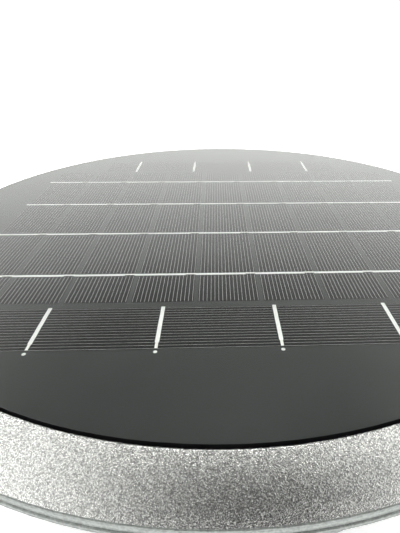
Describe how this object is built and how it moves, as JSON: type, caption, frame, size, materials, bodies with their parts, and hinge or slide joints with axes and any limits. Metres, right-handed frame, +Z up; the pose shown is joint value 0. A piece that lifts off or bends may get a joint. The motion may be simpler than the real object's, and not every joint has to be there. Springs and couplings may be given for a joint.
{
  "type": "solar attic fan",
  "caption": "Round solar-powered roof exhaust fan: glass panel in a textured silver hood over a slotted guard, flanged throat tube and spider-mounted motor with riveted blades.",
  "frame": {"origin": "centre of the throat on the roof deck, at the underside of the flange gasket", "axes": "+Z up along the fan axis; +X along the busbar ribbons of the solar panel; +Y across them"},
  "size_m": [0.3102, 0.3102, 0.151],
  "materials": {
    "clear_glass": "polished low-iron tempered glass",
    "silicon": "dark mono-crystalline silicon with printed silver fingers",
    "tinned_ribbon": "bright tinned copper",
    "black_backsheet": "black film",
    "black_rubber": "black rubber",
    "silver_powder_coat": "silver-grey powder coat with a coarse sand texture",
    "satin_aluminium": "satin silver-grey",
    "galvanised_steel": "zinc-coated sheet with faint spangle",
    "zinc_fastener": "bright zinc plate",
    "bare_aluminium": "mill-finish sheet",
    "black_plastic": "moulded black plastic",
    "motor_black": "black coated steel",
    "ground_steel": "ground steel",
    "bronze": "oiled sintered bronze",
    "electrical_steel": "stacked laminations",
    "copper_wire": "enamelled copper",
    "circuit_board": "green solder mask",
    "ferrite": "sintered ferrite",
    "brass_terminal": "brass",
    "ceramic": "phenolic and steel"
  },
  "bodies": {
    "root": {"panel_glass": "clear_glass", "cell_strips": "silicon", "busbar_ribbons": "tinned_ribbon", "laminate_backsheet": "black_backsheet", "panel_edge_seal": "black_rubber", "junction_box": "black_plastic", "junction_lid": "black_plastic", "junction_terminals": "brass_terminal", "blocking_diode": "black_plastic", "hood_ring": "silver_powder_coat", "hood_pan": "satin_aluminium", "pan_screws": "zinc_fastener", "pan_grommet": "black_rubber", "bracket_bolts": "zinc_fastener", "bracket_nuts": "zinc_fastener", "bracket_rivets": "bare_aluminium", "exhaust_guard": "galvanised_steel", "throat_tube": "galvanised_steel", "base_flange": "galvanised_steel", "flange_gasket": "black_rubber", "collar_rivets": "bare_aluminium", "motor_spider": "galvanised_steel", "spider_bolts": "zinc_fastener", "spider_nuts": "zinc_fastener", "motor_end_cap": "satin_aluminium", "motor_can": "motor_black", "motor_screws": "zinc_fastener", "motor_grommet": "black_rubber", "bearing_lower": "bronze", "bearing_upper": "bronze", "stator_core": "electrical_steel", "stator_windings": "copper_wire", "driver_board": "circuit_board", "thermostat": "ceramic", "thermostat_screws": "zinc_fastener", "hood_bracket_1": "galvanised_steel", "hood_bracket_2": "galvanised_steel", "hood_bracket_3": "galvanised_steel", "hood_bracket_4": "galvanised_steel", "hood_bracket_5": "galvanised_steel", "hood_bracket_6": "galvanised_steel"},
    "fan": {"motor_shaft": "ground_steel", "rotor_magnet": "ferrite", "fan_hub": "satin_aluminium", "hub_set_screw": "zinc_fastener", "hub_washer": "zinc_fastener", "hub_nut": "zinc_fastener", "blade_rivets": "bare_aluminium", "fan_blade_1": "bare_aluminium", "fan_blade_2": "bare_aluminium", "fan_blade_3": "bare_aluminium", "fan_blade_4": "bare_aluminium", "fan_blade_5": "bare_aluminium"}
  },
  "joints": [
    {"name": "fan_spin", "type": "hinge", "parent": "root", "child": "fan", "pos_m": [0, 0, -0.028], "axis": [0, 0, 1], "continuous": true}
  ]
}
